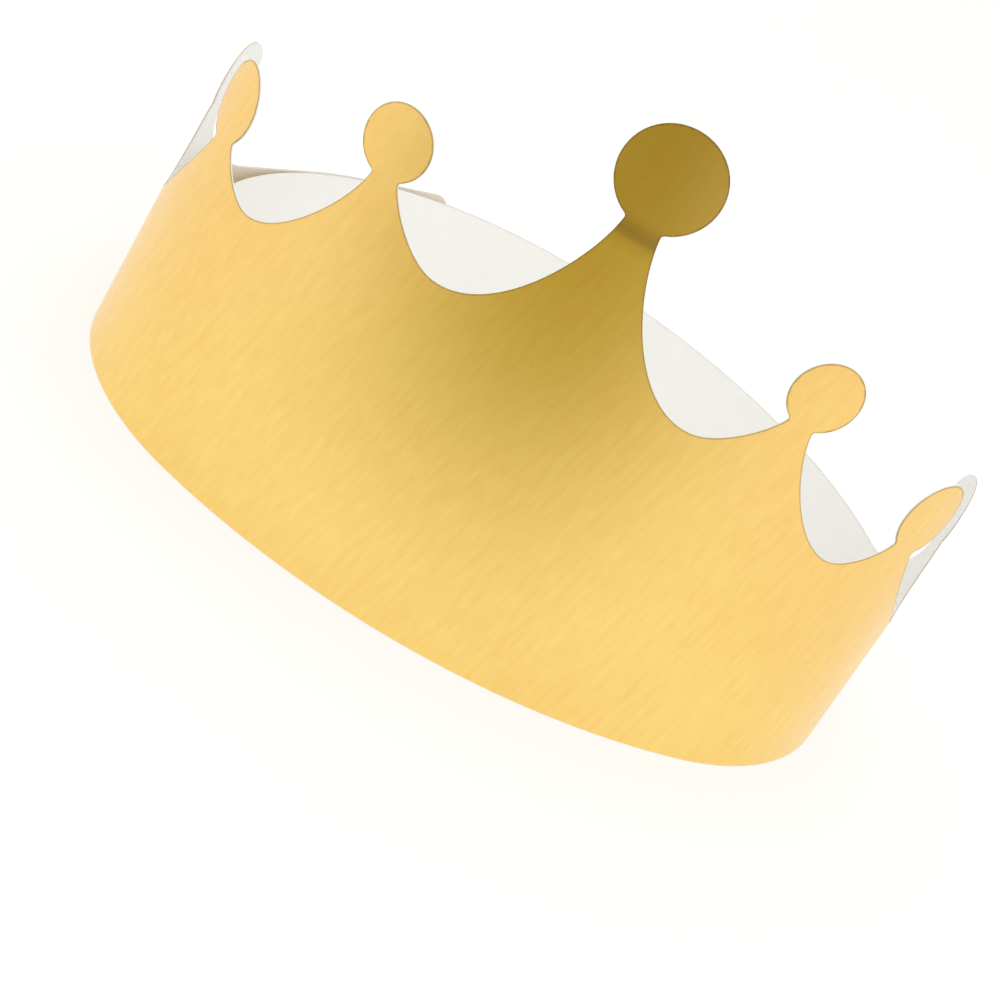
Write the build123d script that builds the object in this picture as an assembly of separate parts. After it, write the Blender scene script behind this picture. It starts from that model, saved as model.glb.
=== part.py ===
"""Party crown: one die-cut strip of card, bent into a ring and glued to itself at the back.

Millimetres, +Z up. The crown stands on its straight lower edge, with its front towards -Y. The strip's
middle surface follows tangent arcs in plan. The long right arm runs round the back on the inside, and the
short left arm laps over it on the outside. The bend of the inner end follows from the others, so that the
ring closes without a kink.
"""
from build123d import *
from math import atan2, cos, degrees, radians, sin
from typing import NamedTuple
import os


class Flank(NamedTuple):
    """One edge of a point: its slope at the neck in degrees, and how strongly it keeps it and ends level."""

    flare: float
    pull: float
    level: float


# Card
card = 0.4
band_height = 29.4
end_corner = 4.0

# Plan of the ring: radius of the card's middle surface on each stretch, and the angles of the free bends
front_radius = 123.0
front_turn_right = 30.2
front_turn_left = 26.2
right_side_radius = 55.0
right_side_turn = 87.1
back_radius = 94.8
back_turn = 64.3
left_side_radius = 54.6
left_back_length = 20.4
tail_radius = 600.0

# Closure: glued lap, free tail of the outer end, and free length of the inner end
lap_length = 13.0
tail_length = 27.0
inner_end_length = 54.0

# Points: distance of each ball from the middle of the front along the card, its height, radius and neck
centre_height = 108.6
centre_radius = 10.4
centre_neck = 7.4
inner_at = 46.9
inner_height = 85.0
inner_radius = 7.5
inner_neck = 5.7
middle_at = 88.1
middle_height = 65.4
middle_radius = 8.5
middle_neck = 7.8
outer_at = 127.8
outer_height = 54.6
outer_radius = 8.1
outer_neck = 7.0
neck_fillet = 0.8

# Points lean outwards as if they fanned out from one place below the front
fan_radius = 273.0

# Valleys between the points: distance from the middle of the front along the card, and height
first_valley_at = 27.6
first_valley_height = 67.5
second_valley_at = 69.2
second_valley_height = 52.6
third_valley_at = 115.0
third_valley_height = 31.8
last_valley_at = 150.0

# Edges of the points, on the side towards the front and on the side away from it
centre_flank = Flank(flare=6.0, pull=0.90, level=0.93)
inner_inward = Flank(flare=23.5, pull=0.64, level=0.95)
inner_outward = Flank(flare=6.2, pull=0.79, level=0.84)
middle_inward = Flank(flare=27.6, pull=0.56, level=0.90)
middle_outward = Flank(flare=21.0, pull=0.82, level=0.66)
outer_inward = Flank(flare=28.0, pull=0.55, level=0.90)
outer_outward = Flank(flare=12.0, pull=0.93, level=0.90)

# Room that the die leaves round the outline
cut_depth = 12.0
cut_overlap = 0.3
cut_above = 5.0

FRONT = -90.0


class Arc(NamedTuple):
    """Stretch of the plan: start and end are the angles of the card's outward normal, in degrees."""

    centre: Vector
    radius: float
    start: float
    end: float

    @property
    def length(self):
        return self.radius * radians(abs(self.end - self.start))

    def tip(self, offset=0.0):
        return self.centre + direction(self.end) * (self.radius + offset)

    def edge(self, offset):
        return CenterArc(self.centre, self.radius + offset, self.start, self.end - self.start)

    def cut(self, length):
        """The first part of this arc."""
        turn = degrees(length / self.radius)
        return self._replace(end=self.start + (turn if self.end > self.start else -turn))


class Straight(NamedTuple):
    """Flat stretch of the plan, clockwise from above. end is the angle of its outward normal."""

    begin: Vector
    end: float
    length: float

    def tip(self, offset=0.0):
        return self.begin + direction(self.end - 90) * self.length + direction(self.end) * offset

    def edge(self, offset):
        return Line(self._replace(length=0.0).tip(offset), self.tip(offset))

    def cut(self, length):
        """The first part of this stretch."""
        return self._replace(length=length)


class Point(NamedTuple):
    """One ball-tipped point: place, height and radius of its ball, its neck, valleys and edges."""

    at: float
    height: float
    radius: float
    neck: float
    left_valley: tuple
    right_valley: tuple
    left_flank: Flank
    right_flank: Flank


def direction(angle):
    return Vector(cos(radians(angle)), sin(radians(angle)))


def angle_of(vector):
    return degrees(atan2(vector.Y, vector.X))


def clockwise(angle):
    """The same direction, counted as a turn of 0 to -360 degrees."""
    return angle % 360 - 360


def next_centre(arc, radius):
    """Centre of an arc that goes on from the end of another without a kink."""
    return arc.centre + direction(arc.end) * (arc.radius - radius)


def follow(arc, radius, turn):
    return Arc(next_centre(arc, radius), radius, arc.end, arc.end + turn)


def right_arcs():
    """Front middle to the start of the inner end, anticlockwise from above."""
    front = Arc(Vector(0, front_radius), front_radius, FRONT, FRONT + front_turn_right)
    side = follow(front, right_side_radius, right_side_turn)
    return [front, side, follow(side, back_radius, back_turn)]


def left_arcs():
    """Front middle to the outer tail, clockwise from above, and the radius that closes the ring."""
    front = Arc(Vector(0, front_radius), front_radius, FRONT, FRONT - front_turn_left)
    side_centre = next_centre(front, left_side_radius)
    back_tip = right[-1].tip() - side_centre
    back_normal = direction(right[-1].end)
    under = left_side_radius - card
    drop = back_tip.dot(back_normal) - under
    closing_radius = (back_tip.length**2 - under**2 - left_back_length**2) / (2 * drop)
    lap_centre = next_centre(right[-1], closing_radius)
    lap_radius = closing_radius + card
    bearing = degrees(atan2(left_back_length, left_side_radius - lap_radius))
    run_normal = clockwise(angle_of(lap_centre - side_centre) + bearing)
    side = Arc(side_centre, left_side_radius, front.end, run_normal)
    run = Straight(side.tip(), run_normal, left_back_length)
    lap = Arc(lap_centre, lap_radius, run_normal, run_normal - degrees(lap_length / lap_radius))
    tail = follow(lap, tail_radius, -degrees(tail_length / tail_radius))
    return [front, side, run, lap, tail], closing_radius


def place(s):
    """Point of the middle surface and its outward normal, s along the card from the front, + to the right."""
    rest = abs(s)
    for arc in right if s >= 0 else left:
        if rest <= arc.length:
            break
        rest -= arc.length
    reached = arc.cut(rest)
    return reached.tip(), direction(reached.end)


def stretch(arcs, length):
    """The arcs of one side up to a length along the card."""
    kept = []
    for arc in arcs:
        if length <= arc.length:
            return kept + [arc.cut(length)]
        kept.append(arc)
        length -= arc.length
    return kept


def offset_edges(arcs, offset):
    """One face of the card along some arcs."""
    return [arc.edge(offset) for arc in arcs]


def end_cap(arc):
    """Cut end of the card, across its thickness."""
    return Line(arc.tip(-half), arc.tip(half))


def closed_band():
    """Plan of the whole ring with both ends, joined where the arms are glued."""
    lap, tail = left[-2:]
    inner = right[-1]
    to_lap = inner._replace(end=lap.end % 360)
    past_lap = inner._replace(start=lap.start % 360)
    outside = offset_edges(right[:-1] + [to_lap], half) + [tail.edge(-half), end_cap(tail)]
    inside = offset_edges(right, -half) + [end_cap(inner), past_lap.edge(half)]
    return Face(Wire(outside + offset_edges(left, half)), [Wire(inside + offset_edges(left[:-2], -half))])


def front_band(length):
    """Plan of the stretch of card that carries the points."""
    sides = [stretch(right, length), stretch(left, length)]
    outline = [edge for arcs in sides for offset in (half, -half) for edge in offset_edges(arcs, offset)]
    return Face(Wire(outline + [end_cap(arcs[-1]) for arcs in sides]))


def flank_edge(neck, flank, valley, way):
    """Edge from a neck down to the bottom of a valley, where it runs level. way is +1 to the right."""
    third = (valley - neck).length / 3
    leave = Vector(way * sin(radians(flank.flare)), -cos(radians(flank.flare)))
    arrive = Vector(way, 0)
    return Bezier(neck, neck + leave * third * flank.pull, valley - arrive * third * flank.level, valley)


def die(point):
    """Solid that cuts one point's outline through the card, from valley to valley."""
    origin, normal = place(point.at)
    tangent = Vector(-normal.Y, normal.X)
    lean = point.at / fan_radius
    axis = Vector(sin(lean), cos(lean))
    across = Vector(cos(lean), -sin(lean))
    ball = Vector(0, point.height)
    root = ball - axis * (point.radius**2 - (point.neck / 2) ** 2) ** 0.5
    top = ball + axis * point.radius
    ends = []
    rims = []
    for way, valley, flank in (
        (-1, point.left_valley, point.left_flank),
        (1, point.right_valley, point.right_flank),
    ):
        neck = root + across * (way * point.neck / 2)
        bottom = Vector((place(valley[0])[0] - origin).dot(tangent), valley[1])
        rims.append(flank_edge(neck, flank, bottom, way))
        ends.append((neck, bottom, bottom + Vector(way * cut_overlap, 0)))
    (left_neck, left_bottom, left_out), (right_neck, right_bottom, right_out) = ends
    ceiling = centre_height + centre_radius + cut_above
    frame = Polyline(
        left_bottom, left_out, (left_out.X, ceiling), (right_out.X, ceiling), right_out, right_bottom
    )
    outline = make_face([*rims, ThreePointArc(left_neck, top, right_neck), frame])
    necks = [outline.vertices().sort_by_distance(neck)[0] for neck in (left_neck, right_neck)]
    outline = fillet(necks, neck_fillet)
    plane = Plane(origin, x_dir=tangent, z_dir=normal)
    return extrude(plane * outline, cut_depth, both=True)


def flipped(valley):
    """The same valley on the other side of the front."""
    at, height = valley
    return -at, height


def mirrored(point):
    return point._replace(
        at=-point.at,
        left_valley=flipped(point.right_valley),
        right_valley=flipped(point.left_valley),
        left_flank=point.right_flank,
        right_flank=point.left_flank,
    )


half = card / 2
right = right_arcs()
left, inner_end_radius = left_arcs()
inner_end_turn = left[-2].start % 360 + degrees(inner_end_length / inner_end_radius) - right[-1].end
right.append(follow(right[-1], inner_end_radius, inner_end_turn))

valleys = [
    (first_valley_at, first_valley_height),
    (second_valley_at, second_valley_height),
    (third_valley_at, third_valley_height),
    (last_valley_at, band_height),
]
centre_ball = (0.0, centre_height, centre_radius, centre_neck)
inner_ball = (inner_at, inner_height, inner_radius, inner_neck)
middle_ball = (middle_at, middle_height, middle_radius, middle_neck)
outer_ball = (outer_at, outer_height, outer_radius, outer_neck)
centre_point = Point(*centre_ball, flipped(valleys[0]), valleys[0], centre_flank, centre_flank)
side_points = [
    Point(*inner_ball, *valleys[0:2], inner_inward, inner_outward),
    Point(*middle_ball, *valleys[1:3], middle_inward, middle_outward),
    Point(*outer_ball, *valleys[2:4], outer_inward, outer_outward),
]

band = extrude(closed_band(), band_height)
band = fillet([edge for edge in band.edges() if abs(edge.length - card) < card / 100], end_corner)
rise = centre_height + centre_radius + cut_above / 2 - band_height
front = Pos(0, 0, band_height) * extrude(front_band(last_valley_at), rise)
crown = band + front
for point in [centre_point, *side_points, *map(mirrored, side_points)]:
    crown -= die(point)

footprint = crown.bounding_box().center()
crown = Pos(-footprint.X, -footprint.Y, 0) * crown
crown.label = "crown_band"

os.makedirs("parts", exist_ok=True)
export_step(crown, "parts/crown_band.step")
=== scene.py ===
"""Party crown of foil-faced card, dressed around its CAD model. Metres, +Z up, front towards -Y."""
from math import atan2, cos, pi, radians, sin, sqrt, tan
from typing import NamedTuple

import bmesh
import bpy
from bpy.props import FloatProperty, FloatVectorProperty, PointerProperty
from bpy.types import Operator, Panel, PropertyGroup
from mathutils import Matrix, Vector
from mathutils.kdtree import KDTree


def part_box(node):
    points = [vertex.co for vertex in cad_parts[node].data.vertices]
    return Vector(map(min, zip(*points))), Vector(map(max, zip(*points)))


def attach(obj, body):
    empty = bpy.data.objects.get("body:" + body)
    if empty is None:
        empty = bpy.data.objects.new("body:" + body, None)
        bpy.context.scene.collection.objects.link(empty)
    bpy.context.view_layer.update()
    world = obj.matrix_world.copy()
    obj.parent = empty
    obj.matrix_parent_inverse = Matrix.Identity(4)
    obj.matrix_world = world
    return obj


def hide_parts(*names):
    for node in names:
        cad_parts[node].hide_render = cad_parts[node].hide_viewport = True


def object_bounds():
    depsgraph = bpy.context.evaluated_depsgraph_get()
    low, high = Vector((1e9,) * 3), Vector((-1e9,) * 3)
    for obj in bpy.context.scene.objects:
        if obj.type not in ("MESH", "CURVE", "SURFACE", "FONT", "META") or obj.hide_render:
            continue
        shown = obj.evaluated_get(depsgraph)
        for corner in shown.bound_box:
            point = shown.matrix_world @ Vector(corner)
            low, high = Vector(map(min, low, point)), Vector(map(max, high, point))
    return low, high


bl_info = {
    "name": "Card Party Crown",
    "version": (1, 0, 0),
    "blender": (4, 5, 0),
    "location": "View3D > Sidebar > Crown",
    "description": "Builds a die-cut crown of gold foil card and the stage it stands on",
    "category": "Object",
}

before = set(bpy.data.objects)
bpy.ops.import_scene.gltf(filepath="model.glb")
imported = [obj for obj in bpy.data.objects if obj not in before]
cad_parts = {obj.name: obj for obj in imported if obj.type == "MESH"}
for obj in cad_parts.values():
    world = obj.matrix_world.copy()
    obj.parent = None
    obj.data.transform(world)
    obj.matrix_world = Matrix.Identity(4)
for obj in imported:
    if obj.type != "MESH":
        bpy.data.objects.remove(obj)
cad_low, cad_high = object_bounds()

FRONT = -pi / 2
SHEET_MAP = "flat_sheet"
EDGE_DISTANCE = "edge_distance"
CARD_DEPTH = "card_depth"
# Name of the mark that lays painted shade on the foil along the crease under the centre ball
CREASE = "crease"

# Room under the crown, and between the floor and the lying dim card, a glowing sheet of painted reflection
FLOOR_GAP = 0.0001
FLAG_GAP = 0.0005

# Direction of the foil's streaks on the flat blank
STREAK_TURN = radians(-78)

# Materials of the card, in the order in which its mesh holds them
FOIL_SLOT, WHITE_SLOT, CUT_SLOT = range(3)

# Width of the camera's frame, in millimetres
FRAME_WIDTH = 36.0

# Steps of the drawn outline
FLANK_STEPS = 40
BALL_STEPS = 56
FILLET_STEPS = 6
CORNER_STEPS = 6
CREASE_STEPS = 7

# A flank's drawn places begin this many times the fillet's run away from the neck
FILLET_ROOM = 1.02

# Rounds that bring a place on a flat die to the bent card, and the least slant that they count with
DIE_ROUNDS = 6
LEAST_SLANT = 0.2


def length(name, description, millimetres):
    """A size that is shown in the scene's length unit."""
    return FloatProperty(name=name, description=description, default=millimetres / 1000, unit="LENGTH")


def angle(name, description, degrees):
    return FloatProperty(name=name, description=description, default=radians(degrees), subtype="ANGLE")


def share(name, description, value):
    return FloatProperty(name=name, description=description, default=value, subtype="FACTOR")


def colour(name, description, value):
    return FloatVectorProperty(
        name=name, description=description, default=value, subtype="COLOR", min=0.0, max=1.0, size=3
    )


def flare(edges, degrees):
    return angle(f"{edges} flare", f"{edges}: their slope at the neck", degrees)


def pull(edges, value):
    return share(f"{edges} pull", f"{edges}: how strongly they keep their slope at the neck", value)


def level(edges, value):
    return share(f"{edges} level", f"{edges}: how strongly they end level in the valley", value)


class CrownSheet(PropertyGroup):
    """Sizes of the card strip: its plan as a ring, its closure and its die-cut outline."""

    card: length("Card", "Thickness of the card", 0.4)
    band_height: length("Band height", "Height of the plain band", 29.4)
    end_corner: length("End corner", "Radius of the strip's four corners", 4.0)
    front_radius: length("Front radius", "Bend of the front", 123.0)
    front_turn_right: angle("Front turn right", "Angle through which the front bends to the right", 30.2)
    front_turn_left: angle("Front turn left", "Angle through which the front bends to the left", 26.2)
    right_side_radius: length("Right side radius", "Bend of the right side", 55.0)
    right_side_turn: angle("Right side turn", "Angle through which the right side bends", 87.1)
    back_radius: length("Back radius", "Bend of the back", 94.8)
    back_turn: angle("Back turn", "Angle through which the back bends", 64.3)
    left_side_radius: length("Left side radius", "Bend of the left side", 54.6)
    left_back_length: length("Left back length", "Straight run between the left side and the lap", 20.4)
    lap_length: length("Lap length", "Length of the glued lap", 13.0)
    lap_seam: length("Lap seam", "Glue between the two layers of the lap", 0.02)
    tail_length: length("Tail length", "Free end of the outer layer", 27.0)
    tail_radius: length("Tail radius", "Bend of the free outer end", 600.0)
    inner_end_length: length("Inner end length", "Free end of the inner layer", 54.0)
    centre_height: length("Centre height", "Height of the centre ball", 108.6)
    centre_radius: length("Centre radius", "Radius of the centre ball", 10.4)
    centre_neck: length("Centre neck", "Width of the centre point's neck", 7.4)
    inner_at: length("Inner place", "Inner points, along the card from the front", 46.9)
    inner_height: length("Inner height", "Height of the inner balls", 85.0)
    inner_radius: length("Inner radius", "Radius of the inner balls", 7.5)
    inner_neck: length("Inner neck", "Width of the inner points' necks", 5.7)
    middle_at: length("Middle place", "Middle points, along the card from the front", 88.1)
    middle_height: length("Middle height", "Height of the middle balls", 65.4)
    middle_radius: length("Middle radius", "Radius of the middle balls", 8.5)
    middle_neck: length("Middle neck", "Width of the middle points' necks", 7.8)
    outer_at: length("Outer place", "Outer points, along the card from the front", 127.8)
    outer_height: length("Outer height", "Height of the outer balls", 54.6)
    outer_radius: length("Outer radius", "Radius of the outer balls", 8.1)
    outer_neck: length("Outer neck", "Width of the outer points' necks", 7.0)
    neck_fillet: length("Neck fillet", "Rounding between a ball and its neck", 0.8)
    fan_radius: length("Fan radius", "Distance to the place that the points fan out from", 273.0)
    first_valley_at: length("First valley", "First valleys, along the card from the front", 27.6)
    first_valley_height: length("First valley height", "Height of the first valleys", 67.5)
    second_valley_at: length("Second valley", "Second valleys, along the card from the front", 69.2)
    second_valley_height: length("Second valley height", "Height of the second valleys", 52.6)
    third_valley_at: length("Third valley", "Third valleys, along the card from the front", 115.0)
    third_valley_height: length("Third valley height", "Height of the third valleys", 31.8)
    last_valley_at: length("Last valley", "Where the outer points run out, along the card", 150.0)
    centre_flare: flare("Centre edges", 6.0)
    centre_pull: pull("Centre edges", 0.9)
    centre_level: level("Centre edges", 0.93)
    inner_inward_flare: flare("Inner inward edges", 23.5)
    inner_inward_pull: pull("Inner inward edges", 0.64)
    inner_inward_level: level("Inner inward edges", 0.95)
    inner_outward_flare: flare("Inner outward edges", 6.2)
    inner_outward_pull: pull("Inner outward edges", 0.79)
    inner_outward_level: level("Inner outward edges", 0.84)
    middle_inward_flare: flare("Middle inward edges", 27.6)
    middle_inward_pull: pull("Middle inward edges", 0.56)
    middle_inward_level: level("Middle inward edges", 0.9)
    middle_outward_flare: flare("Middle outward edges", 21.0)
    middle_outward_pull: pull("Middle outward edges", 0.82)
    middle_outward_level: level("Middle outward edges", 0.66)
    outer_inward_flare: flare("Outer inward edges", 28.0)
    outer_inward_pull: pull("Outer inward edges", 0.55)
    outer_inward_level: level("Outer inward edges", 0.9)
    outer_outward_flare: flare("Outer outward edges", 12.0)
    outer_outward_pull: pull("Outer outward edges", 0.93)
    outer_outward_level: level("Outer outward edges", 0.9)
    crease_at: length("Crease height", "Height of the soft crease under the centre ball", 96.8)
    crease_width: length("Crease width", "Width of the soft crease under the centre ball", 3.4)
    crease_depth: length("Crease depth", "Depth of the soft crease under the centre ball", 0.3)
    ball_lean: angle("Ball lean", "How far the centre ball leans back from the crease", 3.5)
    cell: length("Cell", "Size of the faces that the sheet is divided into", 2.5)


class CrownFinish(PropertyGroup):
    """Colours and surface values of the card's two faces and its cut edge."""

    foil: colour("Foil", "Gold of the foil", (1.0, 0.72, 0.235))
    foil_deep: colour("Deep foil", "Gold of the foil in its darker streaks", (0.955, 0.64, 0.195))
    foil_clouds: share("Foil clouds", "Share of broad clouds in the foil's tone, beside its streaks", 0.35)
    foil_roughness: share("Foil roughness", "Roughness of the foil", 0.29)
    foil_roughness_spread: share("Foil roughness spread", "How far the foil's roughness varies", 0.05)
    foil_grain: length("Foil grain", "Height of the grain in the foil", 0.006)
    foil_wear: share("Foil wear", "Strength of the pressed line on the foil", 0.75)
    # Painted shade: how far the foil darkens towards the cut edge's brown along the crease, as the crease's
    # shadow
    crease_painted_shade: share("Crease shading", "How far the foil is dulled along the crease", 0.35)
    white: colour("White card", "Bare card inside", (0.90, 0.89, 0.86))
    white_shade: colour("White card shade", "Bare card inside, in its darker fibres", (0.86, 0.85, 0.815))
    white_fibres: share("White fibres", "Share of fibres in the bare card's tone, beside its clouds", 0.4)
    white_roughness: share("White roughness", "Roughness of the bare card", 0.62)
    white_roughness_spread: share("White roughness spread", "How far the bare card's roughness varies", 0.1)
    card_grain: length("Card grain", "Height of the fibres in the bare card", 0.05)
    white_wear: share("White wear", "Strength of the pressed line on the bare card", 0.25)
    cut: colour("Cut edge", "Cut edge next to the foil", (0.30, 0.21, 0.07))
    cut_pale: colour("Pale cut edge", "Cut edge next to the bare card", (0.72, 0.68, 0.60))
    edge_wear: length("Edge wear", "Width of the pressed line along the die-cut edge", 0.35)


class CrownStage(PropertyGroup):
    """Floor, light and camera."""

    floor_size: length("Floor size", "Side of the floor", 8000.0)
    floor: colour("Floor", "Colour of the floor", (0.92, 0.92, 0.90))
    floor_shade: share("Floor shade", "Darker patches of the floor, as a share of its colour", 0.985)
    floor_lift: share("Floor lift", "Share of plain white that the camera sees in the floor", 0.7)
    floor_white: colour("Floor white", "Plain white that the camera sees in the floor", (1.0, 1.0, 0.985))
    # Painted reflection: only reflections see the floor beside the crown in this warm tint
    warm_painted_reflection: colour(
        "Warm floor", "What the foil reflects of the floor beside the crown", (0.955, 0.88, 0.945)
    )
    warm_start: length("Warm start", "Where the reflected floor turns warm, out to the side", 60.0)
    warm_full: length("Warm full", "Where the reflected floor is fully warm, out to the side", 190.0)
    # The dim cards are painted reflection: glowing sheets that only reflections see, in place of the shade
    # of the studio's unlit side in front of the crown
    flag: colour(
        "Dim card", "Near part of the dim cards that the foil reflects at the front", (0.435, 0.38, 0.034)
    )
    painted_reflection_far: colour(
        "Far dim card", "Far part of the dim cards, which the centre ball reflects", (0.26, 0.218, 0.013)
    )
    flag_centre: length("Dim card centre", "Middle of the dim cards, to the right of the crown's", -28.0)
    flag_start: length("Dim card start", "Where the dim card begins, in front of the crown", 86.0)
    flag_full: length("Dim card full", "Where the dim card is full, in front of the crown", 260.0)
    flag_turn: length("Dim card turn", "Where its far part begins, in front of the crown", 336.0)
    flag_deep: length("Dim card deep", "Where its far part is full, in front of the crown", 480.0)
    flag_end: length("Dim card end", "Where the dim card stands up, in front of the crown", 950.0)
    flag_apex: length("Dim card apex", "Place that the dim cards fan out from, behind the front", 60.0)
    flag_fan: share("Dim card fan", "Half width of the dim cards as a share of the distance", 0.88)
    flag_height: length("Dim card height", "Height of the dim card that stands at the end", 700.0)
    world_light: share("World light", "Strength of the even light from all round", 0.8)
    aim: FloatVectorProperty(
        name="Aim", description="Place that the camera looks at", default=(0.00594, -0.00033, 0.00308),
        subtype="TRANSLATION", size=3,
    )
    distance: length("Distance", "Camera's distance from its aim", 659.5)
    azimuth: angle("Azimuth", "Camera's place round the crown, from the front towards the right", -3.123)
    elevation: angle("Elevation", "Camera's height above the floor's plane", 26.026)
    roll: angle("Roll", "Turn of the camera about its line of sight", -32.001)
    lens: FloatProperty(
        name="Lens", description="Focal length on a 36 mm frame", default=111.45, unit="CAMERA"
    )


class Arc(NamedTuple):
    """Stretch of the ring's plan. start and end are the angles of the card's outward normal."""

    centre: Vector
    radius: float
    start: float
    end: float

    @property
    def length(self):
        return self.radius * abs(self.end - self.start)

    def at(self, distance):
        turn = distance / self.radius
        normal = direction(self.start + (turn if self.end > self.start else -turn))
        return self.centre + normal * self.radius, normal


class Straight(NamedTuple):
    """Flat stretch of the ring's plan, clockwise from above. end is the angle of its outward normal."""

    begin: Vector
    end: float
    length: float

    def at(self, distance):
        return self.begin + direction(self.end - pi / 2) * distance, direction(self.end)


class Valley(NamedTuple):
    """Lowest place between two points."""

    at: float
    height: float

    def flipped(self):
        return Valley(-self.at, self.height)


class Flank(NamedTuple):
    """One edge of a point: its slope at the neck, and how strongly it keeps it and ends level."""

    flare: float
    pull: float
    level: float


class CrownPoint(NamedTuple):
    """One ball-tipped point: place, height and radius of its ball, its neck, valleys and edges."""

    at: float
    height: float
    radius: float
    neck: float
    left: Valley
    right: Valley
    left_flank: Flank
    right_flank: Flank

    def flipped(self):
        return self._replace(
            at=-self.at,
            left=self.right.flipped(),
            right=self.left.flipped(),
            left_flank=self.right_flank,
            right_flank=self.left_flank,
        )


def direction(turn):
    return Vector((cos(turn), sin(turn)))


def follow(arc, radius, turn):
    """Arc that goes on from the end of another without a kink."""
    centre = arc.centre + direction(arc.end) * (arc.radius - radius)
    return Arc(centre, radius, arc.end, arc.end + turn)


class RingPlan:
    """Middle line of the bent card seen from above, as arcs to the right and to the left of the front."""

    def __init__(self, sheet):
        front_centre = Vector((0, sheet.front_radius))
        front = Arc(front_centre, sheet.front_radius, FRONT, FRONT + sheet.front_turn_right)
        side = follow(front, sheet.right_side_radius, sheet.right_side_turn)
        back = follow(side, sheet.back_radius, sheet.back_turn)
        self.left, closing_radius = self.left_arcs(sheet, back)
        lap = self.left[-2]
        end = lap.start % (2 * pi) + sheet.inner_end_length / closing_radius
        self.right = [front, side, back, follow(back, closing_radius, end - back.end)]

    def left_arcs(self, sheet, back):
        """Front middle to the outer tail, and the radius of the bend that closes the ring."""
        front_centre = Vector((0, sheet.front_radius))
        front = Arc(front_centre, sheet.front_radius, FRONT, FRONT - sheet.front_turn_left)
        side = follow(front, sheet.left_side_radius, 0)
        layer = sheet.card + sheet.lap_seam
        under = sheet.left_side_radius - layer
        back_tip, back_normal = back.at(back.length)
        reach = back_tip - side.centre
        drop = reach.dot(back_normal) - under
        closing_radius = (reach.length_squared - under**2 - sheet.left_back_length**2) / (2 * drop)
        lap_centre = back_tip - back_normal * closing_radius
        lap_radius = closing_radius + layer
        gap = lap_centre - side.centre
        bearing = atan2(gap.y, gap.x) + atan2(sheet.left_back_length, sheet.left_side_radius - lap_radius)
        normal = bearing % (2 * pi) - 2 * pi
        side = side._replace(end=normal)
        run = Straight(side.at(side.length)[0], normal, sheet.left_back_length)
        lap = Arc(lap_centre, lap_radius, normal, normal - sheet.lap_length / lap_radius)
        tail = follow(lap, sheet.tail_radius, -sheet.tail_length / sheet.tail_radius)
        return [front, side, run, lap, tail], closing_radius

    def place(self, s):
        """Place on the middle line and outward normal, s along the card, + to the right."""
        rest = abs(s)
        for arc in self.right if s >= 0 else self.left:
            if rest <= arc.length:
                break
            rest -= arc.length
        else:
            rest += arc.length
        return arc.at(rest)

    def ends(self):
        """Both ends of the strip, along the card."""
        return -sum(arc.length for arc in self.left), sum(arc.length for arc in self.right)

    def along(self, s, across):
        """The place along the card that lies straight behind a place on the flat die at s."""
        origin, normal = self.place(s)
        tangent = Vector((-normal.y, normal.x))
        found = s + across
        for _ in range(DIE_ROUNDS):
            spot, there = self.place(found)
            found += (across - (spot - origin).dot(tangent)) / max(LEAST_SLANT, there.dot(normal))
        return found


def flank(sheet, name):
    return Flank(*(getattr(sheet, f"{name}_{part}") for part in Flank._fields))


def crown_points(sheet):
    """The seven points from left to right."""
    valleys = [
        Valley(sheet.first_valley_at, sheet.first_valley_height),
        Valley(sheet.second_valley_at, sheet.second_valley_height),
        Valley(sheet.third_valley_at, sheet.third_valley_height),
        Valley(sheet.last_valley_at, sheet.band_height),
    ]
    centre_flank = flank(sheet, "centre")
    centre_ball = (0.0, sheet.centre_height, sheet.centre_radius, sheet.centre_neck)
    centre = CrownPoint(*centre_ball, valleys[0].flipped(), valleys[0], centre_flank, centre_flank)
    balls = {
        "inner": (sheet.inner_at, sheet.inner_height, sheet.inner_radius, sheet.inner_neck),
        "middle": (sheet.middle_at, sheet.middle_height, sheet.middle_radius, sheet.middle_neck),
        "outer": (sheet.outer_at, sheet.outer_height, sheet.outer_radius, sheet.outer_neck),
    }
    sides = []
    for i, (name, ball) in enumerate(balls.items()):
        flanks = flank(sheet, f"{name}_inward"), flank(sheet, f"{name}_outward")
        sides.append(CrownPoint(*ball, *valleys[i:i + 2], *flanks))
    return [*(point.flipped() for point in reversed(sides)), centre, *sides]


def bezier(a, b, c, d, t):
    u = 1 - t
    return a * u**3 + b * (3 * u * u * t) + c * (3 * u * t * t) + d * t**3


def arc_steps(centre, start, end, steps):
    """Places on a circle from one place to another, the shorter way round, without the last."""
    first = start - centre
    turn = first.angle_signed(end - centre)
    radius = first.length
    begin = atan2(first.y, first.x)
    return [centre + direction(begin - turn * i / steps) * radius for i in range(steps)]


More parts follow.
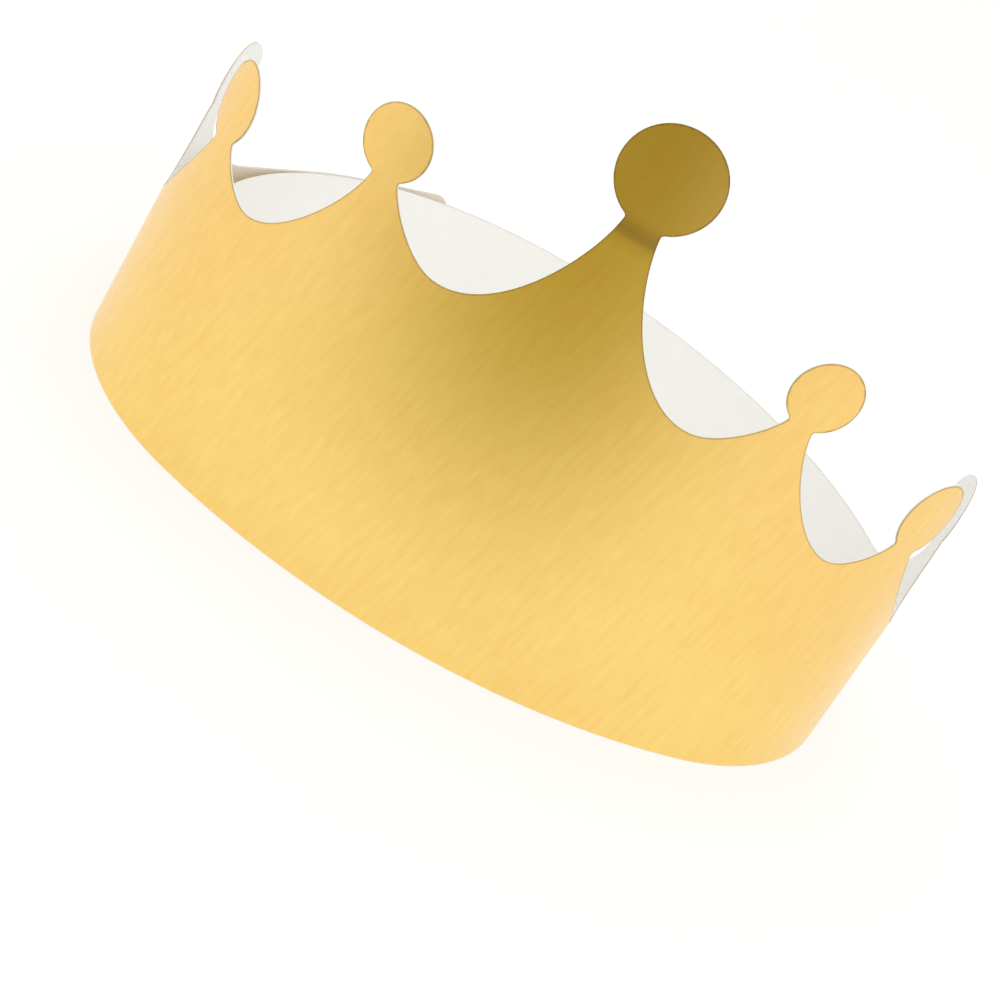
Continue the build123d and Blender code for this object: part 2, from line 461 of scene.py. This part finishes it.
def point_side(point, sheet, plan, way):
    """One edge of a point on its flat die, from the ball down to the valley. way is +1 to the right."""
    origin, normal = plan.place(point.at)
    tangent = Vector((-normal.y, normal.x))
    lean = point.at / sheet.fan_radius
    axis = Vector((sin(lean), cos(lean)))
    across = Vector((cos(lean), -sin(lean)))
    ball = Vector((0, point.height))
    neck = ball - axis * sqrt(point.radius**2 - point.neck**2 / 4) + across * (way * point.neck / 2)
    valley, edge = (point.right, point.right_flank) if way > 0 else (point.left, point.left_flank)
    bottom = Vector(((plan.place(valley.at)[0] - origin).dot(tangent), valley.height))
    leave = Vector((way * sin(edge.flare), -cos(edge.flare)))
    away = Vector((way * cos(edge.flare), sin(edge.flare)))
    fillet = sheet.neck_fillet
    start = neck + away * fillet - ball
    ahead = start.dot(leave)
    run = sqrt(ahead**2 - start.length_squared + (point.radius + fillet) ** 2) - ahead
    centre = ball + start + leave * run
    on_ball = ball + (centre - ball) * (point.radius / (point.radius + fillet))
    third = (bottom - neck).length / 3
    controls = (
        neck,
        neck + leave * third * edge.pull,
        bottom - Vector((way, 0)) * third * edge.level,
        bottom,
    )
    places = arc_steps(centre, on_ball, neck + leave * run, FILLET_STEPS)
    for i in range(1, FLANK_STEPS + 1):
        spot = bezier(*controls, i / FLANK_STEPS)
        if (spot - neck).length > run * FILLET_ROOM:
            places.append(spot)
    return ball, on_ball, places


def point_edge(point, sheet, plan):
    """A point's edge from its left valley to its right valley, on the flat sheet."""
    ball, left_touch, left = point_side(point, sheet, plan, -1)
    ball, right_touch, right = point_side(point, sheet, plan, 1)
    begin = atan2(left_touch.y - ball.y, left_touch.x - ball.x) % (2 * pi)
    end = atan2(right_touch.y - ball.y, right_touch.x - ball.x)
    turns = [begin + (end - begin) * i / BALL_STEPS for i in range(1, BALL_STEPS)]
    rim = [ball + direction(turn) * point.radius for turn in turns]
    return [Vector((plan.along(point.at, spot.x), spot.y)) for spot in [*reversed(left), *rim, *right]]


def strip_corner(at, height, way, up, radius):
    """Rounded corner of the strip's end, as a quarter circle from the level edge to the cut end."""
    centre = Vector((at - way * radius, height - up * radius))
    turns = [i * pi / (2 * CORNER_STEPS) for i in range(CORNER_STEPS + 1)]
    return [centre + Vector((way * sin(turn), up * cos(turn))) * radius for turn in turns]


def sheet_outline(sheet, plan):
    """The whole die-cut outline on the flat sheet, anticlockwise."""
    left_end, right_end = plan.ends()
    radius = sheet.end_corner
    top = []
    for point in crown_points(sheet):
        top += point_edge(point, sheet, plan)[0 if not top else 1:]
    places = strip_corner(right_end, 0.0, 1, -1, radius)
    places += reversed(strip_corner(right_end, sheet.band_height, 1, 1, radius))
    places += reversed(top)
    places += strip_corner(left_end, sheet.band_height, -1, 1, radius)
    places += reversed(strip_corner(left_end, 0.0, -1, -1, radius))
    return places


def cut_sheet(sheet, plan):
    """The flat sheet as a mesh of small faces, with x along the card and y up it."""
    mesh = bmesh.new()
    mesh.faces.new([mesh.verts.new((spot.x, spot.y, 0)) for spot in sheet_outline(sheet, plan)])
    left_end, right_end = plan.ends()
    top = sheet.centre_height + sheet.centre_radius
    heights = [i * sheet.cell for i in range(1, int(top / sheet.cell) + 1)]
    fine = sheet.crease_width / 10
    heights += [sheet.crease_at + fine * i for i in range(-CREASE_STEPS, CREASE_STEPS + 1)]
    cuts = [((0, height, 0), (0, 1, 0)) for height in heights]
    first, last = int(left_end / sheet.cell), int(right_end / sheet.cell)
    cuts += [((i * sheet.cell, 0, 0), (1, 0, 0)) for i in range(first, last + 1)]
    snap = sheet.cell / 40
    for place, normal in cuts:
        geometry = mesh.verts[:] + mesh.edges[:] + mesh.faces[:]
        bmesh.ops.bisect_plane(mesh, geom=geometry, dist=snap, plane_co=place, plane_no=normal)
    mesh.normal_update()
    bmesh.ops.recalc_face_normals(mesh, faces=mesh.faces[:])
    if mesh.faces[0].normal.z < 0:
        bmesh.ops.reverse_faces(mesh, faces=mesh.faces[:])
    mesh.verts.index_update()
    return mesh


def lean_back(sheet, height):
    """How far the card lies back at a height, at and above the soft crease under the centre ball."""
    over = height - sheet.crease_at
    share_done = min(1.0, max(0.0, over / sheet.crease_width + 0.5))
    return sheet.crease_depth * share_done**2 * (3 - 2 * share_done) + max(0.0, over) * tan(sheet.ball_lean)


def bend_sheet(sheet, plan, flat):
    """The flat sheet bent into the ring, with its outer face, inner face and cut edge."""
    half = sheet.card / 2
    spots = [vert.co.copy() for vert in flat.verts]
    places = [plan.place(spot.x) for spot in spots]
    verts = []
    for side in (half, -half):
        for spot, (middle, normal) in zip(spots, places):
            at = middle + normal * side
            verts.append((at.x, at.y + lean_back(sheet, spot.y), spot.y))
    count = len(spots)
    outer = [[vert.index for vert in face.verts] for face in flat.faces]
    inner = [[i + count for i in reversed(face)] for face in outer]
    rims = []
    for face in flat.faces:
        for loop in face.loops:
            if loop.edge.is_boundary:
                a, b = loop.vert.index, loop.link_loop_next.vert.index
                rims.append((b, a, a + count, b + count))
    mesh = bpy.data.meshes.new("crown_band_card")
    mesh.from_pydata(verts, [], outer + inner + rims)
    mesh.polygons.foreach_set("use_smooth", [True] * len(mesh.polygons))
    slots = [FOIL_SLOT] * len(outer) + [WHITE_SLOT] * len(inner) + [CUT_SLOT] * len(rims)
    mesh.polygons.foreach_set("material_index", slots)
    edge_of = {tuple(sorted(edge.vertices)): edge for edge in mesh.edges}
    for b, a, c, d in rims:
        edge_of[tuple(sorted((a, b)))].use_edge_sharp = True
        edge_of[tuple(sorted((c, d)))].use_edge_sharp = True
    map_sheet(mesh, spots, plan)
    die_cut = [vert.index for vert in flat.verts if vert.is_boundary and vert.co.y > sheet.card]
    near = edge_distances(spots, die_cut, sheet.cell * 2)
    # Mask of the painted shade along the crease: 1 at its middle, 0 a crease width away
    crease_shade_mask = [max(0.0, 1 - abs(spot.y - sheet.crease_at) / sheet.crease_width) for spot in spots]
    mark(mesh, EDGE_DISTANCE, near + near)
    mark(mesh, CARD_DEPTH, [0.0] * count + [1.0] * count)
    mark(mesh, CREASE, crease_shade_mask + crease_shade_mask)
    mesh.update()
    return mesh


def map_sheet(mesh, spots, plan):
    """Lays the flat blank out as the mesh's map, one unit long. Both faces share it."""
    left_end, right_end = plan.ends()
    span = right_end - left_end
    layer = mesh.uv_layers.new(name=SHEET_MAP)
    for loop in mesh.loops:
        spot = spots[loop.vertex_index % len(spots)]
        layer.data[loop.index].uv = (spot.x - left_end) / span, spot.y / span


def mark(mesh, name, values):
    """Stores a number at each point of a mesh, for its materials."""
    mesh.attributes.new(name, "FLOAT", "POINT").data.foreach_set("value", values)


def edge_distances(spots, rim_spots, most):
    """Distance of each place on the flat sheet from the nearest of some places, up to a limit."""
    tree = KDTree(len(rim_spots))
    for i in rim_spots:
        tree.insert(spots[i], i)
    tree.balance()
    return [min(most, tree.find(spot)[2]) for spot in spots]


def centre_on(mesh, low, high):
    """Moves a mesh so that its plan has the same middle as a box."""
    xs = [vert.co.x for vert in mesh.vertices]
    ys = [vert.co.y for vert in mesh.vertices]
    shift = Vector((low.x + high.x - min(xs) - max(xs), low.y + high.y - min(ys) - max(ys), 0)) / 2
    mesh.transform(Matrix.Translation(shift))


def add_node(tree, kind, **inputs):
    """A node with some of its inputs linked to sockets or set to values."""
    node = tree.nodes.new(kind)
    for name, value in inputs.items():
        socket = node.inputs[name.replace("_", " ")]
        if isinstance(value, bpy.types.NodeSocket):
            tree.links.new(value, socket)
        else:
            socket.default_value = value
    return node


def math_node(tree, operation, a, b):
    node = tree.nodes.new("ShaderNodeMath")
    node.operation = operation
    for socket, value in zip(node.inputs, (a, b)):
        if isinstance(value, bpy.types.NodeSocket):
            tree.links.new(value, socket)
        else:
            socket.default_value = value
    return node.outputs[0]


def mix_colours(tree, factor, a, b):
    node = tree.nodes.new("ShaderNodeMix")
    node.data_type = "RGBA"
    for socket, value in ((node.inputs[0], factor), (node.inputs[6], a), (node.inputs[7], b)):
        if isinstance(value, bpy.types.NodeSocket):
            tree.links.new(value, socket)
        else:
            socket.default_value = (*value, 1.0) if hasattr(value, "__len__") else value
    return node.outputs[2]


def remap(tree, value, low, high, first=0.0, last=1.0, smooth=False):
    """Spreads a value over another range, from 0 to 1 if nothing else is said."""
    node = add_node(
        tree, "ShaderNodeMapRange", Value=value, From_Min=first, From_Max=last, To_Min=low, To_Max=high
    )
    if smooth:
        node.interpolation_type = "SMOOTHSTEP"
    return node.outputs[0]


def noise(tree, vector, scale, detail, roughness=0.5):
    node = add_node(
        tree, "ShaderNodeTexNoise", Vector=vector, Scale=scale, Detail=detail, Roughness=roughness
    )
    return node.outputs["Fac"]


def marked(tree, name):
    """A number that is stored at the points of the mesh."""
    node = tree.nodes.new("ShaderNodeAttribute")
    node.attribute_name = name
    return node.outputs["Fac"]


def sheet_map(tree):
    node = tree.nodes.new("ShaderNodeUVMap")
    node.uv_map = SHEET_MAP
    return node.outputs[0]


def add_share(tree, value, other, share_of_other):
    """A value plus a share of another."""
    return math_node(tree, "ADD", value, math_node(tree, "MULTIPLY", other, share_of_other))


def blend(tree, value, other, share_of_other):
    """A value and another one by their shares, which make up the whole."""
    return add_share(tree, math_node(tree, "MULTIPLY", value, 1 - share_of_other), other, share_of_other)


def new_group(name, inputs, outputs):
    """An empty shader node group with number inputs and outputs."""
    group = bpy.data.node_groups.new(name, "ShaderNodeTree")
    for socket, value in inputs.items():
        made = group.interface.new_socket(socket, in_out="INPUT", socket_type="NodeSocketFloat")
        made.default_value = value
    for socket in outputs:
        group.interface.new_socket(socket, in_out="OUTPUT", socket_type="NodeSocketFloat")
    return group, group.nodes.new("NodeGroupInput").outputs, group.nodes.new("NodeGroupOutput").inputs


def sheet_grain_group():
    """Rolled streaks and fine fibres of the sheet, laid out on the flat blank."""
    inputs = {"Streak Size": 420.0, "Streak Length": 5.5, "Fibre Size": 2200.0, "Cloud Size": 14.0}
    group, given, made = new_group("sheet_grain", inputs, ("Streaks", "Fibres", "Clouds"))
    blank = sheet_map(group)
    turned = add_node(group, "ShaderNodeMapping", Vector=blank, Rotation=(0, 0, STREAK_TURN))
    squeeze = group.nodes.new("ShaderNodeCombineXYZ")
    squeeze.inputs[1].default_value = 1.0
    group.links.new(math_node(group, "DIVIDE", 1.0, given["Streak Length"]), squeeze.inputs[0])
    drawn = group.nodes.new("ShaderNodeVectorMath")
    drawn.operation = "MULTIPLY"
    group.links.new(turned.outputs[0], drawn.inputs[0])
    group.links.new(squeeze.outputs[0], drawn.inputs[1])
    streaks = noise(group, drawn.outputs[0], given["Streak Size"], 5.0, 0.6)
    group.links.new(streaks, made["Streaks"])
    group.links.new(noise(group, blank, given["Fibre Size"], 4.0, 0.65), made["Fibres"])
    group.links.new(noise(group, blank, given["Cloud Size"], 3.0), made["Clouds"])
    return group


def cut_wear_group():
    """Mask of the uneven line that the die presses along its cut. The lower edge has none."""
    group, given, made = new_group("cut_wear", {"Width": 0.00035, "Breakup Size": 900.0}, ("Mask",))
    broken = remap(group, noise(group, sheet_map(group), given["Breakup Size"], 3.0), 0.4, 1.6)
    width = math_node(group, "MULTIPLY", given["Width"], broken)
    widths_away = math_node(group, "DIVIDE", marked(group, EDGE_DISTANCE), width)
    mask = math_node(group, "SUBTRACT", 1.0, widths_away)
    group.links.new(math_node(group, "MAXIMUM", mask, 0.0), made["Mask"])
    return group


def place_group(tree, group, **inputs):
    node = tree.nodes.new("ShaderNodeGroup")
    node.node_tree = group
    for name, value in inputs.items():
        node.inputs[name.replace("_", " ")].default_value = value
    return node.outputs


def new_material(name):
    """A material with an empty Principled surface."""
    material = bpy.data.materials.new(name)
    material.use_nodes = True
    return material, material.node_tree, material.node_tree.nodes["Principled BSDF"]


def bump(tree, height, strength, distance):
    node = add_node(tree, "ShaderNodeBump", Height=height, Strength=strength, Distance=distance)
    return node.outputs[0]


def foil_material(finish, grain_group, wear_group):
    """Satin gold foil: drawn streaks, faint clouds, fibres, a dark line at the die cut and painted shade
    along the crease under the centre ball.
    """
    material, tree, surface = new_material("gold_foil")
    grain = place_group(tree, grain_group)
    wear = place_group(tree, wear_group, Width=finish.edge_wear)
    tone = blend(tree, grain["Streaks"], grain["Clouds"], finish.foil_clouds)
    gold = mix_colours(tree, remap(tree, tone, 0.0, 1.0, 0.36, 0.64), finish.foil, finish.foil_deep)
    # Painted shade along the crease under the centre ball: the gold darkens towards the cut edge's brown
    shaded = math_node(tree, "MULTIPLY", marked(tree, CREASE), finish.crease_painted_shade)
    gold = mix_colours(tree, shaded, gold, finish.cut)
    pressed = math_node(tree, "MULTIPLY", wear["Mask"], finish.foil_wear)
    tree.links.new(mix_colours(tree, pressed, gold, finish.cut), surface.inputs["Base Color"])
    surface.inputs["Metallic"].default_value = 1.0
    smoothest = finish.foil_roughness - finish.foil_roughness_spread
    roughest = finish.foil_roughness + finish.foil_roughness_spread
    tree.links.new(remap(tree, tone, smoothest, roughest), surface.inputs["Roughness"])
    height = add_share(tree, grain["Streaks"], grain["Fibres"], 0.5)
    tree.links.new(bump(tree, height, 1.0, finish.foil_grain), surface.inputs["Normal"])
    return material


def white_material(finish, grain_group, wear_group):
    """Bare white card: soft fibres, faint clouds and a greyer line at the die cut."""
    material, tree, surface = new_material("white_card")
    grain = place_group(
        tree, grain_group, Streak_Size=160.0, Streak_Length=5.0, Fibre_Size=1500.0, Cloud_Size=9.0
    )
    wear = place_group(tree, wear_group, Width=finish.edge_wear)
    tone = blend(tree, grain["Clouds"], grain["Fibres"], finish.white_fibres)
    paper = mix_colours(tree, remap(tree, tone, -0.7, 1.7), finish.white, finish.white_shade)
    pressed = math_node(tree, "MULTIPLY", wear["Mask"], finish.white_wear)
    tree.links.new(mix_colours(tree, pressed, paper, finish.cut_pale), surface.inputs["Base Color"])
    smoothest = finish.white_roughness - finish.white_roughness_spread
    roughest = finish.white_roughness + finish.white_roughness_spread
    tree.links.new(remap(tree, grain["Fibres"], smoothest, roughest), surface.inputs["Roughness"])
    surface.inputs["Specular IOR Level"].default_value = 0.3
    height = add_share(tree, grain["Fibres"], grain["Streaks"], 0.5)
    tree.links.new(bump(tree, height, 0.25, finish.card_grain), surface.inputs["Normal"])
    return material


def cut_material(finish, grain_group):
    """Cut edge of the card: a line of drawn-over foil that fades into the pale core of fibres."""
    material, tree, surface = new_material("cut_edge")
    grain = place_group(tree, grain_group, Streak_Size=500.0, Streak_Length=3.0, Fibre_Size=3000.0)
    ragged = math_node(tree, "ADD", marked(tree, CARD_DEPTH), remap(tree, grain["Fibres"], -0.3, 0.3))
    edge = mix_colours(tree, remap(tree, ragged, 0.0, 1.0, 0.1, 0.5), finish.cut, finish.cut_pale)
    tree.links.new(edge, surface.inputs["Base Color"])
    tree.links.new(remap(tree, grain["Streaks"], 0.55, 0.85), surface.inputs["Roughness"])
    tree.links.new(bump(tree, grain["Fibres"], 0.4, finish.card_grain), surface.inputs["Normal"])
    return material


class CROWN_OT_band(Operator):
    """Cut the sheet, bend it into the crown and give it its foil, white card and cut edge"""

    bl_idname = "crown.band"
    bl_label = "Build Crown Band"

    def execute(self, context):
        sheet = context.scene.crown_sheet
        finish = context.scene.crown_finish
        plan = RingPlan(sheet)
        flat = cut_sheet(sheet, plan)
        mesh = bend_sheet(sheet, plan, flat)
        flat.free()
        centre_on(mesh, *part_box("crown_band"))
        grain, wear = sheet_grain_group(), cut_wear_group()
        for material in (
            foil_material(finish, grain, wear),
            white_material(finish, grain, wear),
            cut_material(finish, grain),
        ):
            mesh.materials.append(material)
        band = bpy.data.objects.new("crown_band_card", mesh)
        context.scene.collection.objects.link(band)
        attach(band, "root")
        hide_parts("crown_band")
        return {"FINISHED"}


def seen_rays(tree):
    """1 for rays that the camera, a reflection or glass sees, and 0 for light that falls on things."""
    ray = tree.nodes.new("ShaderNodeLightPath").outputs
    seen = math_node(tree, "ADD", ray["Is Camera Ray"], ray["Is Glossy Ray"])
    return math_node(tree, "MINIMUM", math_node(tree, "ADD", seen, ray["Is Transmission Ray"]), 1.0)


def floor_material(stage):
    """Pale matt floor that shows a little light of its own to the camera and in reflections, and a painted
    reflection: a warm tint that only reflections see out to the sides.
    """
    material, tree, surface = new_material("pale_floor")
    place = tree.nodes.new("ShaderNodeNewGeometry").outputs["Position"]
    shade = [channel * stage.floor_shade for channel in stage.floor]
    paper = mix_colours(tree, noise(tree, place, 3.0, 2.0), stage.floor, shade)
    tree.links.new(paper, surface.inputs["Base Color"])
    surface.inputs["Roughness"].default_value = 0.9
    surface.inputs["Specular IOR Level"].default_value = 0.0
    # Painted reflection: out to the sides, reflections see the floor's light in a warm tint
    across = add_node(tree, "ShaderNodeSeparateXYZ", Vector=place).outputs["X"]
    aside = math_node(tree, "ABSOLUTE", across, 0.0)
    beside = remap(tree, aside, 0.0, 1.0, stage.warm_start, stage.warm_full, smooth=True)
    reflected = tree.nodes.new("ShaderNodeLightPath").outputs["Is Glossy Ray"]
    warm_reflection_share = math_node(tree, "MULTIPLY", beside, reflected)
    tint = mix_colours(tree, warm_reflection_share, stage.floor_white, stage.warm_painted_reflection)
    white = add_node(tree, "ShaderNodeEmission", Color=tint, Strength=1.0)
    share_seen = math_node(tree, "MULTIPLY", seen_rays(tree), stage.floor_lift)
    show_mix(tree, share_seen, surface.outputs[0], white.outputs[0])
    return material


def show_mix(tree, factor, first, second):
    """Makes a material show a mix of two shaders."""
    mixed = add_node(tree, "ShaderNodeMixShader", Fac=factor)
    tree.links.new(first, mixed.inputs[1])
    tree.links.new(second, mixed.inputs[2])
    tree.links.new(mixed.outputs[0], tree.nodes["Material Output"].inputs["Surface"])


def painted_reflection_material(stage):
    """Painted reflection: a dim glowing card with soft edges that only reflections see, in place of the
    shade of the studio's unlit side behind the camera.
    """
    material = bpy.data.materials.new("painted_reflection_card")
    material.use_nodes = True
    tree = material.node_tree
    tree.nodes.remove(tree.nodes["Principled BSDF"])
    spot = tree.nodes.new("ShaderNodeTexCoord").outputs["Object"]
    place = add_node(tree, "ShaderNodeSeparateXYZ", Vector=spot).outputs
    off_centre = math_node(tree, "SUBTRACT", place["X"], stage.flag_centre)
    aside = math_node(tree, "ABSOLUTE", off_centre, 0.0)
    ahead = math_node(tree, "MULTIPLY", place["Y"], -1.0)
    reach = math_node(tree, "MULTIPLY", math_node(tree, "ADD", ahead, stage.flag_apex), stage.flag_fan)
    beside = remap(tree, math_node(tree, "DIVIDE", aside, reach), 1.0, 0.0, smooth=True)
    begun = remap(tree, ahead, 0.0, 1.0, stage.flag_start, stage.flag_full, smooth=True)
    mask = math_node(tree, "MULTIPLY", beside, begun)
    far = remap(tree, ahead, 0.0, 1.0, stage.flag_turn, stage.flag_deep, smooth=True)
    shade = mix_colours(tree, far, stage.flag, stage.painted_reflection_far)
    # The card glows in its dim colour, as painted shade for the foil to reflect, and fades to clear at its
    # soft edges
    clear = tree.nodes.new("ShaderNodeBsdfTransparent")
    dim = add_node(tree, "ShaderNodeEmission", Color=shade, Strength=1.0)
    show_mix(tree, mask, clear.outputs[0], dim.outputs[0])
    return material


def plane(name, centre, right, up, material):
    """A flat rectangle about a centre, with half its sides given as vectors."""
    corners = [centre - right - up, centre + right - up, centre + right + up, centre - right + up]
    mesh = bpy.data.meshes.new(name)
    mesh.from_pydata(corners, [], [(0, 1, 2, 3)])
    mesh.materials.append(material)
    rectangle = bpy.data.objects.new(name, mesh)
    bpy.context.scene.collection.objects.link(rectangle)
    return rectangle


class Softbox(NamedTuple):
    """Square soft lamp that faces a place."""

    name: str
    place: Vector
    aim: Vector
    size: float
    watts: float

    def build(self):
        lamp = bpy.data.lights.new(self.name, "AREA")
        lamp.shape = "SQUARE"
        lamp.size = self.size
        lamp.energy = self.watts
        box = bpy.data.objects.new(self.name, lamp)
        bpy.context.scene.collection.objects.link(box)
        box.location = self.place
        box.rotation_mode = "QUATERNION"
        box.rotation_quaternion = (self.aim - self.place).to_track_quat("-Z", "Y")


SOFTBOXES = (
    Softbox("overhead_softbox", Vector((-0.1, 0.1, 1.3)), Vector((0, 0, 0.03)), size=1.4, watts=6.0),
    Softbox("front_softbox", Vector((0.1, -1.2, 0.9)), Vector((0, 0, 0.05)), size=1.0, watts=4.5),
    Softbox("right_softbox", Vector((1.1, -0.1, 0.6)), Vector((0, 0, 0.05)), size=0.9, watts=1.4),
)


def studio_world(stage):
    """Even pale light from all round, and white where the camera or a reflection sees it."""
    world = bpy.data.worlds.new("studio")
    world.use_nodes = True
    tree = world.node_tree
    light = tree.nodes["Background"]
    light.inputs["Color"].default_value = (1.0, 1.0, 1.0, 1.0)
    tree.links.new(remap(tree, seen_rays(tree), stage.world_light, 1.0), light.inputs["Strength"])
    bpy.context.scene.world = world


def aim_camera(stage):
    back = Vector((
        sin(stage.azimuth) * cos(stage.elevation),
        -cos(stage.azimuth) * cos(stage.elevation),
        sin(stage.elevation),
    ))
    sideways = (-back).cross(Vector((0, 0, 1))).normalized()
    upright = sideways.cross(-back)
    up = upright * cos(stage.roll) + sideways * sin(stage.roll)
    right = up.cross(back)
    camera = bpy.data.objects.new("camera", bpy.data.cameras.new("camera"))
    bpy.context.scene.collection.objects.link(camera)
    place = Matrix((right, up, back)).transposed().to_4x4()
    place.translation = Vector(stage.aim) + back * stage.distance
    camera.matrix_world = place
    camera.data.lens = stage.lens
    camera.data.sensor_width = FRAME_WIDTH
    camera.data.clip_start = 0.01
    camera.data.clip_end = 100.0
    bpy.context.scene.camera = camera


class CROWN_OT_stage(Operator):
    """Lay the floor and set the lamps, the world and the camera"""

    bl_idname = "crown.stage"
    bl_label = "Build Stage"

    def execute(self, context):
        stage = context.scene.crown_stage
        half = stage.floor_size / 2
        under = Vector((0, 0, cad_low.z - FLOOR_GAP))
        plane("floor", under, Vector((half, 0, 0)), Vector((0, half, 0)), floor_material(stage))
        dim = painted_reflection_material(stage)
        wide = Vector((stage.flag_fan * (stage.flag_end + stage.flag_apex), 0, 0))
        deep = Vector((0, (stage.flag_end - stage.flag_start) / 2, 0))
        tall = Vector((0, 0, stage.flag_height / 2))
        lying = Vector((stage.flag_centre, -stage.flag_start, FLAG_GAP)) - deep
        for flag in (
            plane("painted_reflection_lying", lying, wide, deep, dim),
            plane("painted_reflection_standing", lying - deep + tall, wide, tall, dim),
        ):
            # Only reflections see the dim cards, which paint the studio's shade into the foil
            flag.visible_camera = False
            flag.visible_diffuse = False
            flag.visible_shadow = False
            flag.visible_transmission = False
        for softbox in SOFTBOXES:
            softbox.build()
        studio_world(stage)
        aim_camera(stage)
        context.scene.view_settings.view_transform = "Standard"
        return {"FINISHED"}


class CROWN_PT_panel(Panel):
    """Sizes, colours and builders of the crown"""

    bl_idname = "CROWN_PT_panel"
    bl_label = "Crown"
    bl_space_type = "VIEW_3D"
    bl_region_type = "UI"
    bl_category = "Crown"

    def draw(self, context):
        scene = context.scene
        for operator in (CROWN_OT_band, CROWN_OT_stage):
            self.layout.operator(operator.bl_idname)
        for group in (scene.crown_sheet, scene.crown_finish, scene.crown_stage):
            column = self.layout.column(align=True)
            for name in group.bl_rna.properties.keys():
                if name not in ("rna_type", "name"):
                    column.prop(group, name)


GROUPS = {"crown_sheet": CrownSheet, "crown_finish": CrownFinish, "crown_stage": CrownStage}
CLASSES = (*GROUPS.values(), CROWN_OT_band, CROWN_OT_stage, CROWN_PT_panel)


def register():
    for cls in CLASSES:
        bpy.utils.register_class(cls)
    for name, group in GROUPS.items():
        setattr(bpy.types.Scene, name, PointerProperty(type=group))


def unregister():
    for name in GROUPS:
        delattr(bpy.types.Scene, name)
    for cls in reversed(CLASSES):
        bpy.utils.unregister_class(cls)


def main():
    register()
    bpy.ops.crown.band()
    bpy.ops.crown.stage()


if __name__ == "__main__":
    main()
